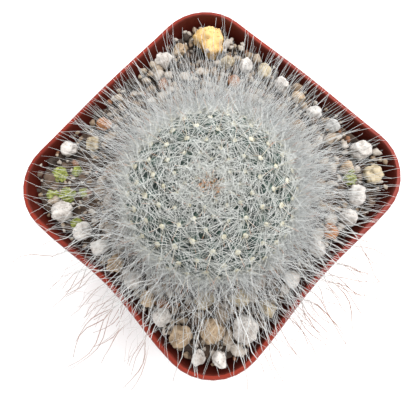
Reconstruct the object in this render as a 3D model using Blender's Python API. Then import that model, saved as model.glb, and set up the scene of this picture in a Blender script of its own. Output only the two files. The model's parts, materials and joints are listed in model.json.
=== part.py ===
# Potted old lady cactus: one grown globe of tubercles, spines and long hair,
# standing in dark compost with loose stones, in a square plastic nursery pot.
# Metres, +Z up. The origin is the middle of the pot's flat underside.

import bpy
import bmesh
import math
import random
import numpy as np
from mathutils import Vector, noise
from mathutils.bvhtree import BVHTree

MM = 0.001

# Pot: a tapered rounded square with a rolled lip.
POT_HEIGHT = 60.0 * MM
BASE_HALF = 23.0 * MM
WALL_TOP_HALF = 32.0 * MM
LIP_HALF = 32.5 * MM
LIP_DEPTH = 4.4 * MM
WALL = 0.85 * MM
BASE_RADIUS = 8.0 * MM
TOP_RADIUS = 11.1 * MM
FLOOR_TOP = 2.6 * MM
CHANNEL_DEPTH = 1.2 * MM
CHANNEL_HALF = 6.2 * MM
CENTRE_PAD = 4.4 * MM
DRAIN_RADIUS = 2.7 * MM
DRAIN_OFFSET = 12.5 * MM
# Inward sag of the four walls at the lip, +X, +Y, -X, -Y; a negative one bows outward.
SAG = (-0.4 * MM, -0.4 * MM, 1.6 * MM, 1.1 * MM)
CORNER_STEPS = 8
SIDE_STEPS = 10

# Clearance between pieces that rest on one another.
GAP = 0.3 * MM

# Compost.
SOIL_TOP = 56.0 * MM
SOIL_RINGS = 9
# The compost is level round the stem; further out it lies higher, most at -X -Y.
SOIL_RAISE = 2.0 * MM
SOIL_SLOPE = 0.035

# Stem: a slightly flattened globe measured in the valleys between tubercles.
STEM_X = -1.8 * MM
STEM_Y = -2.2 * MM
STEM_RADIUS = 14.8 * MM
STEM_RISE = 15.0 * MM
STEM_MIDDLE = 65.6 * MM
TUBERCLE = 2.0 * MM
SPACING = 3.5 * MM
TIP_SPACING = 1.6 * MM
LAST_TUBERCLE = math.radians(116.0)
NECK = math.radians(134.0)
NECK_STEPS = 32
LEAN_X = -0.085
LEAN_Y = -0.15
# Radius and height of the buried foot of the stem, top to bottom.
FOOT = ((10.0 * MM, 53.6 * MM), (8.8 * MM, 49.8 * MM), (6.0 * MM, 46.3 * MM))

AREOLE = 0.5 * MM
SPINES_PER_AREOLE = 9
SPINES_AT_APEX = 8
SPINE_LENGTH = 4.4 * MM
HAIR_LENGTH = 20.0 * MM
# Spacing from which an areole is grown, with its full spines and its long hairs.
GROWN_SPACING = 2.7 * MM
# Extra share of hair length towards the corner at -X -Y, where the longest hairs hang.
HAIR_DROOP_SIDE = 0.3
SPINE_CLEARANCE = 0.25 * MM
GOLDEN = math.pi * (3.0 - math.sqrt(5.0))

# Loose stones: name, x, y, width, height share, colour key.
STONES = (
    ("stone_ochre", 25.4, 23.8, 8.0, 0.80, "ochre"),
    ("stone_cream_01", 24.4, 16.6, 3.4, 0.80, "cream"),
    ("stone_tan_01", 19.8, 26.6, 3.6, 0.74, "tan"),
    ("stone_white_01", 14.8, 28.6, 4.1, 0.82, "white"),
    ("stone_white_02", 26.0, 12.6, 3.5, 0.80, "white"),
    ("bark_chip_01", 21.6, 12.0, 3.6, 0.42, "bark"),
    ("stone_cream_02", 28.6, 8.4, 3.9, 0.84, "cream"),
    ("stone_white_03", 27.8, 3.0, 3.7, 0.80, "white"),
    ("stone_tan_02", 27.8, -1.9, 3.2, 0.80, "tan"),
    ("stone_white_04", 27.6, -7.0, 3.9, 0.82, "white"),
    ("stone_grey_01", 27.4, -12.0, 3.5, 0.78, "grey"),
    ("stone_white_05", 28.6, -20.0, 5.0, 0.64, "white"),
    ("stone_cream_03", 24.6, -25.4, 4.7, 0.72, "cream"),
    ("stone_tan_03", 22.0, -20.4, 3.0, 0.72, "tan"),
    ("stone_white_06", 18.6, -25.8, 4.6, 0.80, "white"),
    ("stone_white_07", 13.8, -27.6, 4.0, 0.80, "white"),
    ("bark_chip_02", 9.2, -26.8, 3.8, 0.42, "bark"),
    ("stone_white_08", 4.6, -27.4, 3.8, 0.80, "white"),
    ("stone_white_09", -4.0, -27.8, 3.7, 0.82, "white"),
    ("stone_cream_04", -13.0, -27.6, 3.8, 0.80, "cream"),
    ("stone_cream_05", -17.2, -26.0, 4.2, 0.80, "cream"),
    ("stone_white_10", -19.8, -30.2, 5.6, 0.92, "white"),
    ("stone_tan_04", -23.8, -26.0, 5.4, 0.86, "tan"),
    ("stone_cream_06", -21.8, -21.4, 4.6, 0.80, "cream"),
    ("stone_tan_05", -28.8, -20.2, 4.8, 0.84, "tan"),
    ("stone_white_11", -29.2, -26.2, 3.2, 0.80, "white"),
    ("stone_white_12", -25.4, -30.2, 3.2, 0.80, "white"),
    ("stone_white_13", -27.8, -15.0, 3.9, 0.82, "white"),
    ("stone_tan_06", -27.4, -9.4, 3.6, 0.80, "tan"),
    ("stone_white_14", -27.2, -4.0, 4.4, 0.84, "white"),
    ("stone_tan_07", -27.4, 1.4, 3.7, 0.80, "tan"),
    ("stone_white_15", -27.6, 6.6, 4.1, 0.84, "white"),
    ("stone_white_16", -27.4, 11.6, 4.4, 0.84, "white"),
    ("stone_white_17", -26.6, 18.4, 4.9, 0.80, "white"),
    ("stone_white_18", -16.0, 28.6, 3.8, 0.80, "white"),
    ("stone_cream_07", -11.4, 25.2, 3.6, 0.80, "cream"),
    ("bark_chip_03", -6.4, 26.8, 3.8, 0.42, "bark"),
)

STONE_COLOURS = {
    "ochre": (0.62, 0.42, 0.16, 1.0),
    "white": (0.82, 0.81, 0.77, 1.0),
    "cream": (0.72, 0.66, 0.50, 1.0),
    "tan": (0.50, 0.37, 0.22, 1.0),
    "grey": (0.46, 0.45, 0.43, 1.0),
    "bark": (0.30, 0.13, 0.05, 1.0),
}


def clear_scene():
    for item in list(bpy.data.objects):
        bpy.data.objects.remove(item, do_unlink=True)


def make_material(name, colour, roughness):
    material = bpy.data.materials.new(name)
    material.use_nodes = True
    shader = material.node_tree.nodes["Principled BSDF"]
    shader.inputs["Base Color"].default_value = colour
    shader.inputs["Roughness"].default_value = roughness
    return material


def add_object(name, verts, faces, material, crease=30.0):
    mesh = bpy.data.meshes.new(name)
    mesh.from_pydata([tuple(v) for v in verts], [], faces)
    mesh.validate()
    bm = bmesh.new()
    bm.from_mesh(mesh)
    bmesh.ops.recalc_face_normals(bm, faces=bm.faces)
    bm.to_mesh(mesh)
    bm.free()
    mesh.materials.append(material)
    mesh.shade_smooth()
    mesh.set_sharp_from_angle(angle=math.radians(crease))
    item = bpy.data.objects.new(name, mesh)
    bpy.context.scene.collection.objects.link(item)
    return item


def smooth_step(value):
    value = max(0.0, min(1.0, value))
    return value * value * (3.0 - 2.0 * value)


def bow_share(along):
    """Share of a wall's sag at a place from its middle (0) to its corners (1)."""
    return math.cos(max(0.0, min(1.0, along)) * math.pi / 2.0) ** 2


def outline(half, radius, height):
    """Rounded square with the wall sag of that height, counter-clockwise."""
    points = []
    sag_share = max(0.0, height / POT_HEIGHT) ** 1.5
    straight = half - radius
    for side in range(4):
        turn = side * math.pi / 2.0
        sag = SAG[side] * sag_share
        for step in range(SIDE_STEPS):
            along = -1.0 + 2.0 * step / SIDE_STEPS
            inward = sag * bow_share(abs(along))
            x, y = half - inward, straight * along
            points.append((x * math.cos(turn) - y * math.sin(turn),
                           x * math.sin(turn) + y * math.cos(turn)))
        for step in range(CORNER_STEPS):
            angle = turn + (math.pi / 2.0) * step / CORNER_STEPS
            cx = straight * (math.cos(turn) - math.sin(turn))
            cy = straight * (math.sin(turn) + math.cos(turn))
            points.append((cx + radius * math.cos(angle), cy + radius * math.sin(angle)))
    return points


def wall_half(height):
    return BASE_HALF + (WALL_TOP_HALF - BASE_HALF) * height / POT_HEIGHT


def wall_radius(height):
    return BASE_RADIUS + (TOP_RADIUS - BASE_RADIUS) * height / POT_HEIGHT


def stack_rings(rings):
    """Join equal rings of points into one skin, capping the ends with a centre point."""
    verts, faces = [], []
    count = len(rings[0])
    for ring in rings:
        verts.extend(ring)
    for level in range(len(rings) - 1):
        low, high = level * count, (level + 1) * count
        for i in range(count):
            j = (i + 1) % count
            faces.append((low + i, low + j, high + j, high + i))
    for start, ring in ((0, rings[0]), ((len(rings) - 1) * count, rings[-1])):
        middle = sum((Vector(p) for p in ring), Vector()) / count
        verts.append(tuple(middle))
        hub = len(verts) - 1
        for i in range(count):
            faces.append((start + i, start + (i + 1) % count, hub))
    return verts, faces


def ring_at(half, radius, height):
    return [(x, y, height) for x, y in outline(half, radius, height)]


def cut(target, cutter):
    modifier = target.modifiers.new("cut", "BOOLEAN")
    modifier.operation = "DIFFERENCE"
    modifier.solver = "EXACT"
    modifier.object = cutter
    cutter.hide_render = True
    cutter.display_type = "WIRE"
    bpy.context.view_layer.objects.active = target
    bpy.ops.object.modifier_apply(modifier=modifier.name)
    bpy.data.objects.remove(cutter, do_unlink=True)


def build_pot(material):
    top = POT_HEIGHT
    inner = WALL_TOP_HALF - WALL
    levels = [
        (wall_half(0.0) - 0.6 * MM, BASE_RADIUS - 0.6 * MM, 0.0),
        (wall_half(0.8 * MM), wall_radius(0.8 * MM), 0.8 * MM),
        (wall_half(top - LIP_DEPTH), wall_radius(top - LIP_DEPTH), top - LIP_DEPTH),
        (LIP_HALF - 0.15 * MM, TOP_RADIUS + 0.5 * MM, top - LIP_DEPTH + 0.25 * MM),
        (LIP_HALF, TOP_RADIUS + 0.7 * MM, top - 0.8 * MM),
        (LIP_HALF - 0.25 * MM, TOP_RADIUS + 0.45 * MM, top - 0.2 * MM),
        (LIP_HALF - 0.5 * MM, TOP_RADIUS + 0.2 * MM, top),
        (inner + 0.3 * MM, TOP_RADIUS - 0.4 * MM, top),
        (inner + 0.08 * MM, TOP_RADIUS - 0.65 * MM, top - 0.2 * MM),
    ]
    for height in (top - 0.8 * MM, FLOOR_TOP + 1.4 * MM):
        levels.append((wall_half(height) - WALL, wall_radius(height) - WALL, height))
    low = wall_half(FLOOR_TOP) - WALL
    radius = wall_radius(FLOOR_TOP) - WALL
    levels.append((low - 0.5 * MM, radius - 0.5 * MM, FLOOR_TOP + 0.3 * MM))
    levels.append((low - 1.4 * MM, radius - 1.4 * MM, FLOOR_TOP))
    verts, faces = stack_rings([ring_at(*level) for level in levels])
    pot = add_object("pot", verts, faces, material)
    cut(pot, channel_cutter())
    for side in range(4):
        angle = side * math.pi / 2.0
        centre = (DRAIN_OFFSET * math.cos(angle), DRAIN_OFFSET * math.sin(angle))
        rings = []
        for height in (-1.0 * MM, FLOOR_TOP + 1.0 * MM):
            rings.append([(centre[0] + DRAIN_RADIUS * math.cos(2.0 * math.pi * i / 20),
                           centre[1] + DRAIN_RADIUS * math.sin(2.0 * math.pi * i / 20),
                           height) for i in range(20)])
        verts, faces = stack_rings(rings)
        cut(pot, add_object("drain_cutter", verts, faces, material))
    pot.data.shade_smooth()
    pot.data.set_sharp_from_angle(angle=math.radians(32.0))
    return pot


def channel_cutter():
    """Cross of drain channels under the pot, leaving four feet and a round centre pad."""
    far = BASE_HALF + 3.0 * MM
    wide = CHANNEL_HALF
    cross = [(far, -wide), (far, wide), (wide, wide), (wide, far), (-wide, far), (-wide, wide),
             (-far, wide), (-far, -wide), (-wide, -wide), (-wide, -far), (wide, -far),
             (wide, -wide)]
    steps = 24
    pad = [(CENTRE_PAD * math.cos(2.0 * math.pi * (i + 0.4) / steps),
            CENTRE_PAD * math.sin(2.0 * math.pi * (i + 0.4) / steps)) for i in range(steps)]
    bm = bmesh.new()
    edges = []
    for loop in (cross, pad):
        points = [bm.verts.new((x, y, -1.0 * MM)) for x, y in loop]
        for i, point in enumerate(points):
            edges.append(bm.edges.new((point, points[(i + 1) % len(points)])))
    bmesh.ops.triangle_fill(bm, edges=edges, use_beauty=True)
    raised = bmesh.ops.extrude_face_region(bm, geom=bm.faces[:])
    moved = [g for g in raised["geom"] if isinstance(g, bmesh.types.BMVert)]
    bmesh.ops.translate(bm, verts=moved, vec=(0.0, 0.0, CHANNEL_DEPTH + 1.0 * MM))
    bmesh.ops.recalc_face_normals(bm, faces=bm.faces)
    mesh = bpy.data.meshes.new("channel_cutter")
    bm.to_mesh(mesh)
    bm.free()
    item = bpy.data.objects.new("channel_cutter", mesh)
    bpy.context.scene.collection.objects.link(item)
    return item


def lean(point):
    """Tilt of the stem above the compost, growing smoothly from the neck."""
    start = 54.8 * MM
    rise = max(0.0, point[2] - start)
    return Vector((point[0] + STEM_X + LEAN_X * rise, point[1] + STEM_Y + LEAN_Y * rise,
                   point[2]))


def neck_radius():
    return STEM_RADIUS * math.sin(NECK)


def neck_height():
    return STEM_MIDDLE + STEM_RISE * math.cos(NECK)


def stone_places():
    """Nudge the stones apart, off the wall and off the stem."""
    places = []
    for name, x, y, width, share, colour in STONES:
        places.append([x * MM, y * MM, width * 0.5 * MM])
    inner = wall_half(SOIL_TOP) - WALL
    corner_radius = wall_radius(SOIL_TOP) - WALL
    corner = inner - corner_radius
    for turn in range(60):
        for i, one in enumerate(places):
            for other in places[i + 1:]:
                dx, dy = other[0] - one[0], other[1] - one[1]
                far = math.hypot(dx, dy)
                want = 1.12 * (one[2] + other[2]) + 0.5 * MM
                if far < want:
                    push = 0.5 * (want - far) / far
                    one[0] -= dx * push
                    one[1] -= dy * push
                    other[0] += dx * push
                    other[1] += dy * push
            reach = 1.12 * one[2] + 0.4 * MM
            sag_x = SAG[2] * bow_share((abs(one[1]) - reach) / corner)
            sag_y = SAG[3] * bow_share((abs(one[0]) - reach) / corner)
            one[0] = min(inner - reach, max(reach - inner + sag_x, one[0]))
            one[1] = min(inner - reach, max(reach - inner + sag_y, one[1]))
            past_x, past_y = abs(one[0]) - corner, abs(one[1]) - corner
            past = math.hypot(past_x, past_y)
            if past_x > 0.0 and past_y > 0.0 and past > corner_radius - reach:
                pull = (corner_radius - reach) / past
                one[0] = math.copysign(corner + past_x * pull, one[0])
                one[1] = math.copysign(corner + past_y * pull, one[1])
            from_stem = math.hypot(one[0] - STEM_X, one[1] - STEM_Y)
            keep = STEM_RADIUS + 2.6 * MM + one[2]
            if from_stem < keep:
                one[0] = STEM_X + (one[0] - STEM_X) * keep / from_stem
                one[1] = STEM_Y + (one[1] - STEM_Y) * keep / from_stem
    return places


def soil_height(x, y, places):
    from_stem = math.hypot(x - STEM_X, y - STEM_Y)
    calm = 0.35 + 0.65 * smooth_step((from_stem - 12.5 * MM) / (5.0 * MM))
    broad = noise.noise(Vector((x / (7.0 * MM), y / (7.0 * MM), 1.7)))
    fine = noise.noise(Vector((x / (2.3 * MM), y / (2.3 * MM), 5.2)))
    height = SOIL_TOP + calm * (1.1 * broad + 0.8 * fine) * MM
    outer = smooth_step((from_stem - 14.0 * MM) / (8.0 * MM))
    height += outer * (SOIL_RAISE - SOIL_SLOPE * (x + y))
    for px, py, radius in places:
        share = math.hypot(x - px, y - py) / (radius * 1.25)
        if share < 1.0:
            height -= 0.75 * radius * (1.0 - share * share)
    return height


def build_soil(material, places):
    lowest_edge = SOIL_TOP - 0.8 * MM
    wall_top = wall_half(lowest_edge) - WALL - GAP
    radius_top = wall_radius(lowest_edge) - WALL - GAP
    edge = outline(wall_top, radius_top, SOIL_TOP)
    bottom = FLOOR_TOP + GAP
    low_half = wall_half(bottom) - WALL - GAP
    low_radius = wall_radius(bottom) - WALL - GAP
    rings = [ring_at(low_half - 1.7 * MM, low_radius - 1.7 * MM, bottom),
             ring_at(low_half - 0.2 * MM, low_radius - 0.2 * MM, bottom + 1.6 * MM)]
    hole = neck_radius() + GAP + 0.15 * MM
    for level in range(SOIL_RINGS + 1):
        share = level / SOIL_RINGS
        ring = []
        for x, y in edge:
            angle = math.atan2(y - STEM_Y, x - STEM_X)
            hx = STEM_X + hole * math.cos(angle)
            hy = STEM_Y + hole * math.sin(angle)
            px, py = x + (hx - x) * share, y + (hy - y) * share
            if 0 < level < SOIL_RINGS:
                wander = 0.45 * MM
                px += wander * noise.noise(Vector((px * 900.0, py * 900.0, 9.1)))
                py += wander * noise.noise(Vector((px * 900.0, py * 900.0, 3.3)))
            height = soil_height(px, py, places)
            if level == 0:
                height = max(lowest_edge, min(height, SOIL_TOP + 3.2 * MM))
            if level == SOIL_RINGS:
                height = neck_height() - 0.5 * MM
            ring.append((px, py, height))
        rings.append(ring)
    for radius, height in FOOT:
        ring = []
        for x, y in edge:
            angle = math.atan2(y - STEM_Y, x - STEM_X)
            ring.append((STEM_X + (radius + GAP + 0.05 * MM) * math.cos(angle),
                         STEM_Y + (radius + GAP + 0.05 * MM) * math.sin(angle),
                         height - (GAP if radius == FOOT[-1][0] else 0.0)))
        rings.append(ring)
    verts, faces = stack_rings(rings)
    return add_object("soil", verts, faces, material, 60.0)


def drop_onto(verts, faces, ground):
    """Lift a stone so that its closest point stands one gap above the compost."""
    lump = BVHTree.FromPolygons(verts, faces)
    samples = [Vector(v) for v in verts]
    for face in faces:
        samples.append(sum((Vector(verts[i]) for i in face), Vector()) / 3.0)
        for i in range(3):
            samples.append((Vector(verts[face[i]]) + Vector(verts[face[i - 1]])) / 2.0)
    least = 1.0
    for point in samples:
        hit = ground["tree"].ray_cast(Vector((point.x, point.y, 0.2)), Vector((0, 0, -1)))
        if hit[0] is not None:
            least = min(least, point.z - hit[0].z)
    for point in ground["points"]:
        hit = lump.ray_cast(Vector((point.x, point.y, -0.2)), Vector((0, 0, 1)))
        if hit[0] is not None:
            least = min(least, hit[0].z - point.z)
    lift = GAP + 0.05 * MM - least
    return [(v[0], v[1], v[2] + lift) for v in verts]


def build_stones(materials, places, soil):
    soil_mesh = soil.data
    soil_mesh.calc_loop_triangles()
    points = [v.co.copy() for v in soil_mesh.vertices]
    triangles = [tuple(t.vertices) for t in soil_mesh.loop_triangles]
    probe = list(points)
    for a, b, c in triangles:
        probe.append((points[a] + points[b] + points[c]) / 3.0)
        probe.append((points[a] + points[b]) / 2.0)
        probe.append((points[b] + points[c]) / 2.0)
    ground = {"tree": BVHTree.FromPolygons(points, triangles), "points": probe}
    balls = []
    for index, (stone, place) in enumerate(zip(STONES, places)):
        name, x0, y0, width, share, colour = stone
        bm = bmesh.new()
        bmesh.ops.create_icosphere(bm, subdivisions=2, radius=1.0)
        yaw = index * GOLDEN
        long_side = 1.0 + 0.1 * math.sin(index * 2.1)
        verts = []
        for vert in bm.verts:
            shape = vert.co.normalized()
            seed = Vector((index * 3.1, 0.4, 1.9))
            size = 1.0 + 0.36 * noise.noise(shape * 1.1 + seed)
            size += 0.2 * noise.noise(shape * 2.7 + seed)
            x = shape.x * size * place[2] * long_side * 0.9
            y = shape.y * size * place[2] / long_side * 0.9
            z = shape.z * size * place[2] * share
            verts.append((place[0] + x * math.cos(yaw) - y * math.sin(yaw),
                          place[1] + x * math.sin(yaw) + y * math.cos(yaw),
                          z + SOIL_TOP + place[2]))
        faces = [tuple(v.index for v in f.verts) for f in bm.faces]
        bm.free()
        verts = drop_onto(verts, faces, ground)
        crease = 60.0 if colour != "bark" else 35.0
        add_object(name, verts, faces, materials[colour], crease)
        middle = sum((Vector(v) for v in verts), Vector()) / len(verts)
        reach = max((Vector(v) - middle).length for v in verts)
        balls.append((middle, reach))
    return balls


def stem_point(down, around, lift):
    """Point on the stem: angle from the apex, angle around, height over the valleys."""
    normal = Vector((math.sin(down) / STEM_RADIUS, 0.0, math.cos(down) / STEM_RISE))
    normal.normalize()
    r = STEM_RADIUS * math.sin(down) + normal.x * lift
    z = STEM_MIDDLE + STEM_RISE * math.cos(down) + normal.z * lift
    return Vector((r * math.cos(around), r * math.sin(around), z))


def local_spacing(down):
    share = smooth_step(down / math.radians(48.0))
    return TIP_SPACING + (SPACING - TIP_SPACING) * share


def tubercle_places():
    """Golden-angle places whose spacing opens from the apex to the grown flanks."""
    places = []
    steps = 4000
    filled = 0.35
    count = 0
    for step in range(steps):
        down = LAST_TUBERCLE * (step + 0.5) / steps
        arc = LAST_TUBERCLE / steps * 0.5 * (STEM_RADIUS + STEM_RISE)
        area = 2.0 * math.pi * STEM_RADIUS * math.sin(down) * arc
        filled += area / (0.90 * local_spacing(down) ** 2)
        if filled >= count + 1:
            places.append((down, count * GOLDEN))
            count += 1
    return places


def sphere_dual(places):
    """Spherical triangulation of the tubercles and the neck ring."""
    bm = bmesh.new()
    directions = [(down, around) for down, around in places]
    for i in range(NECK_STEPS):
        directions.append((NECK, 2.0 * math.pi * i / NECK_STEPS))
    directions.append((math.pi, 0.0))
    for down, around in directions:
        bm.verts.new((math.sin(down) * math.cos(around), math.sin(down) * math.sin(around),
                      math.cos(down)))
    bm.verts.index_update()
    bm.verts.ensure_lookup_table()
    bmesh.ops.convex_hull(bm, input=bm.verts[:])
    pole = len(directions) - 1
    triangles = []
    for face in bm.faces:
        ids = [v.index for v in face.verts]
        if pole not in ids:
            flat = face.normal.dot(face.calc_center_median()) > 0.0
            triangles.append(tuple(ids if flat else ids[::-1]))
    spots = [v.co.copy() for v in bm.verts]
    bm.free()
    return spots, triangles


def blank(count):
    return [[] for i in range(count)]


def segment_gap(start, end, starts, ends):
    """Least distance of one segment to each of many."""
    d1 = end - start
    d2 = ends - starts
    r = start - starts
    a = float(d1 @ d1)
    e = np.einsum("ij,ij->i", d2, d2)
    f = np.einsum("ij,ij->i", d2, r)
    c = r @ d1
    b = d2 @ d1
    denom = a * e - b * b
    s = np.clip(np.where(denom > 1e-18, (b * f - c * e) / np.maximum(denom, 1e-18), 0.0), 0, 1)
    t = (b * s + f) / e
    low, high = t < 0.0, t > 1.0
    s = np.where(low, np.clip(-c / a, 0, 1), s)
    s = np.where(high, np.clip((b - c) / a, 0, 1), s)
    t = np.clip(t, 0.0, 1.0)
    away = (start + np.outer(s, d1)) - (starts + d2 * t[:, None])
    return np.sqrt(np.einsum("ij,ij->i", away, away))


def clear_of_pot(start, end, balls):
    """True where a hair passes over the lip, the compost and the stones."""
    steps = 14
    for i in range(3, steps + 1):
        point = start + (end - start) * (i / steps)
        square = max(abs(point.x), abs(point.y))
        over_soil = max(58.4 * MM, soil_height(point.x, point.y, ()) + 1.0 * MM)
        if square < 31.5 * MM and point.z < over_soil:
            return False
        if square > 27.8 * MM and point.z < POT_HEIGHT + 0.7 * MM:
            return False
        for middle, reach in balls:
            if (point - middle).length < reach + 0.9 * MM:
                return False
    return True


def clear_of_skin(start, end, tips, axes, own):
    """True where a spine stays above the cones of the other tubercles."""
    line = end - start
    for share in (0.3, 0.5, 0.7, 0.85, 1.0):
        point = np.array(start + line * share)
        away = point - tips
        high = np.einsum("ij,ij->i", away, axes)
        side = np.sqrt(np.maximum(np.einsum("ij,ij->i", away, away) - high * high, 0.0))
        cone = 0.35 * MM - 0.75 * np.maximum(side - 0.7 * MM, 0.0)
        hit = (side < 3.4 * MM) & (high < cone) & (high > -6.0 * MM)
        hit[own] = False
        if hit.any():
            return False
    return True


def build_cactus(material, balls):
    rng = random.Random(41)
    places = tubercle_places()
    spots, triangles = sphere_dual(places)
    count = len(places)
    verts = []
    faces = []

    def add(point):
        verts.append(lean(point))
        return len(verts) - 1

    valley = []
    for a, b, c in triangles:
        middle = (spots[a] + spots[b] + spots[c]).normalized()
        down = math.acos(max(-1.0, min(1.0, middle.z)))
        around = math.atan2(middle.y, middle.x)
        valley.append(add(stem_point(down, around, 0.0)))
    neck = []
    for i in range(NECK_STEPS):
        neck.append(add(stem_point(NECK, 2.0 * math.pi * i / NECK_STEPS, 0.0)))

    around_spot = blank(len(spots))
    for index, triangle in enumerate(triangles):
        for corner in triangle:
            around_spot[corner].append(index)

    def walk(spot):
        """Triangle indices around one spot in turning order."""
        steps = {}
        back = {}
        for index in around_spot[spot]:
            triangle = triangles[index]
            k = triangle.index(spot)
            steps[triangle[(k + 1) % 3]] = (triangle[(k + 2) % 3], index)
            back[triangle[(k + 2) % 3]] = triangle[(k + 1) % 3]
        start = next(iter(steps))
        while start in back and len(steps) > 0:
            start = back[start]
            if start == next(iter(steps)):
                break
        order = []
        while start in steps:
            start, index = steps.pop(start)
            order.append(index)
        return order

    for i in range(NECK_STEPS):
        order = walk(count + i)
        for first, second in zip(order, order[1:]):
            faces.append((neck[i], valley[first], valley[second]))
    for index, triangle in enumerate(triangles):
        ring = [v for v in triangle if v >= count]
        if len(ring) == 2:
            faces.append((neck[ring[0] - count], neck[ring[1] - count], valley[index]))

    tips = []
    axes = []
    for down, around in places:
        tip = lean(stem_point(down, around, tubercle_height(down)))
        base = lean(stem_point(down, around, 0.0))
        tips.append(tip)
        axes.append((tip - base).normalized())
    tip_array = np.array([tuple(t) for t in tips])
    axis_array = np.array([tuple(a) for a in axes])

    starts, ends, owners = [], [], []
    for spot in range(count):
        down, around = places[spot]
        tip, axis = tips[spot], axes[spot]
        spacing = local_spacing(down)
        size = AREOLE * min(1.0, spacing / SPACING + 0.12)
        side = Vector((-math.sin(around), math.cos(around), 0.0))
        up = axis.cross(side) * -1.0
        up = (up - axis * up.dot(axis)).normalized()
        side = up.cross(axis).normalized()
        spines = SPINES_PER_AREOLE if spacing > GROWN_SPACING else SPINES_AT_APEX
        hub = len(verts)
        verts.append(tip + axis * 0.12 * MM)
        rim = []
        for i in range(spines):
            angle = 2.0 * math.pi * i / spines
            rim.append(len(verts))
            verts.append(tip + (up * math.cos(angle) + side * math.sin(angle)) * size)
        cell = [valley[index] for index in walk(spot)]
        faces.extend(stitch(cell, rim, verts, tip, up, side))
        for i in range(spines):
            j = (i + 1) % spines
            base = (verts[hub] + verts[rim[i]] + verts[rim[j]]) / 3.0
            angle = 2.0 * math.pi * (i + 0.5) / spines
            long_hair = spacing > GROWN_SPACING and i in hair_slots(spot, spines)
            end = None
            for attempt in range(46):
                shrink = 1.0 - 0.016 * attempt
                swing = angle + rng.uniform(-0.16, 0.16) * (1.0 + attempt / 40.0)
                if long_hair:
                    rise = math.radians(rng.uniform(34.0, 74.0))
                    toward = max(0.0, -math.cos(around - math.pi / 4.0))
                    length = HAIR_LENGTH * rng.uniform(0.62, 1.0) * shrink
                    length *= 1.0 + HAIR_DROOP_SIDE * toward
                    if down < math.radians(50.0):
                        length *= 0.3
                    elif down < math.radians(66.0):
                        length *= 0.5
                else:
                    rise = math.radians(rng.uniform(17.0, 40.0) + attempt * 0.8)
                    length = SPINE_LENGTH * rng.uniform(0.82, 1.06) * shrink
                    length *= min(1.0, 0.32 + 0.68 * spacing / SPACING)
                    if spacing < GROWN_SPACING:
                        rise += math.radians(22.0)
                way = (up * math.cos(swing) + side * math.sin(swing)) * math.cos(rise)
                way = (way + axis * math.sin(rise)).normalized()
                tip_end = base + way * length
                if not clear_of_pot(base, tip_end, balls):
                    continue
                if not clear_of_skin(base, tip_end, tip_array, axis_array, spot):
                    continue
                if starts:
                    gap = segment_gap(np.array(base), np.array(tip_end),
                                      np.array(starts), np.array(ends))
                    gap[np.array(owners) == spot] = 1.0
                    if gap.min() < SPINE_CLEARANCE:
                        continue
                end = tip_end
                break
            if end is None:
                end = base + (axis * 0.9 + up * 0.4 * math.cos(angle)
                              + side * 0.4 * math.sin(angle)) * 1.1 * MM
            point = len(verts)
            verts.append(end)
            faces.extend(((rim[i], rim[j], point), (rim[j], hub, point), (hub, rim[i], point)))
            starts.append(tuple(base))
            ends.append(tuple(end))
            owners.append(spot)

    previous = neck
    for radius, height in FOOT:
        ring = []
        for i in range(NECK_STEPS):
            angle = 2.0 * math.pi * i / NECK_STEPS
            ring.append(add(Vector((radius * math.cos(angle), radius * math.sin(angle),
                                    height))))
        for i in range(NECK_STEPS):
            j = (i + 1) % NECK_STEPS
            faces.append((previous[i], ring[i], ring[j], previous[j]))
        previous = ring
    hub = add(Vector((0.0, 0.0, FOOT[-1][1])))
    for i in range(NECK_STEPS):
        faces.append((previous[i], hub, previous[(i + 1) % NECK_STEPS]))
    return add_object("cactus", verts, faces, material, 40.0)


def tubercle_height(down):
    return TUBERCLE * min(1.0, 0.45 + 0.55 * smooth_step(down / math.radians(40.0)))


def hair_slots(spot, spines):
    """Which spines of an areole are long hairs: three, turned from areole to areole."""
    first = (spot * 4) % spines
    return (first, (first + spines // 3) % spines, (first + 2 * spines // 3) % spines)


def stitch(outer, inner, verts, centre, up, side):
    """Triangles between two closed loops around the same axis."""
    def turn(index):
        away = verts[index] - centre
        return math.atan2(away.dot(side), away.dot(up)) % (2.0 * math.pi)

    loops = []
    for loop in (outer, inner):
        order = sorted(loop, key=turn)
        loops.append([(turn(v), v) for v in order])
    out, inn = loops
    result = []
    i = j = 0
    while i < len(out) or j < len(inn):
        a0, a = out[i % len(out)]
        b0, b = inn[j % len(inn)]
        next_a = out[(i + 1) % len(out)][0] + (2.0 * math.pi if i + 1 >= len(out) else 0.0)
        next_b = inn[(j + 1) % len(inn)][0] + (2.0 * math.pi if j + 1 >= len(inn) else 0.0)
        step_out = j >= len(inn) or (i < len(out) and next_a <= next_b)
        if step_out:
            result.append((a, out[(i + 1) % len(out)][1], b))
            i += 1
        else:
            result.append((a, inn[(j + 1) % len(inn)][1], b))
            j += 1
    return result


def main():
    clear_scene()
    pot_material = make_material("pot_plastic", (0.23, 0.045, 0.03, 1.0), 0.55)
    soil_material = make_material("compost", (0.045, 0.032, 0.025, 1.0), 0.95)
    cactus_material = make_material("cactus_skin", (0.30, 0.42, 0.33, 1.0), 0.6)
    stone_materials = {}
    for key, colour in STONE_COLOURS.items():
        stone_materials[key] = make_material("stone_" + key, colour, 0.85)
    build_pot(pot_material)
    places = stone_places()
    soil = build_soil(soil_material, places)
    balls = build_stones(stone_materials, places, soil)
    build_cactus(cactus_material, balls)


main()
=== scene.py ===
import json
import math

import bmesh
import bpy
import numpy as np
from mathutils import Matrix, Vector, noise
from mathutils.bvhtree import BVHTree


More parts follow.
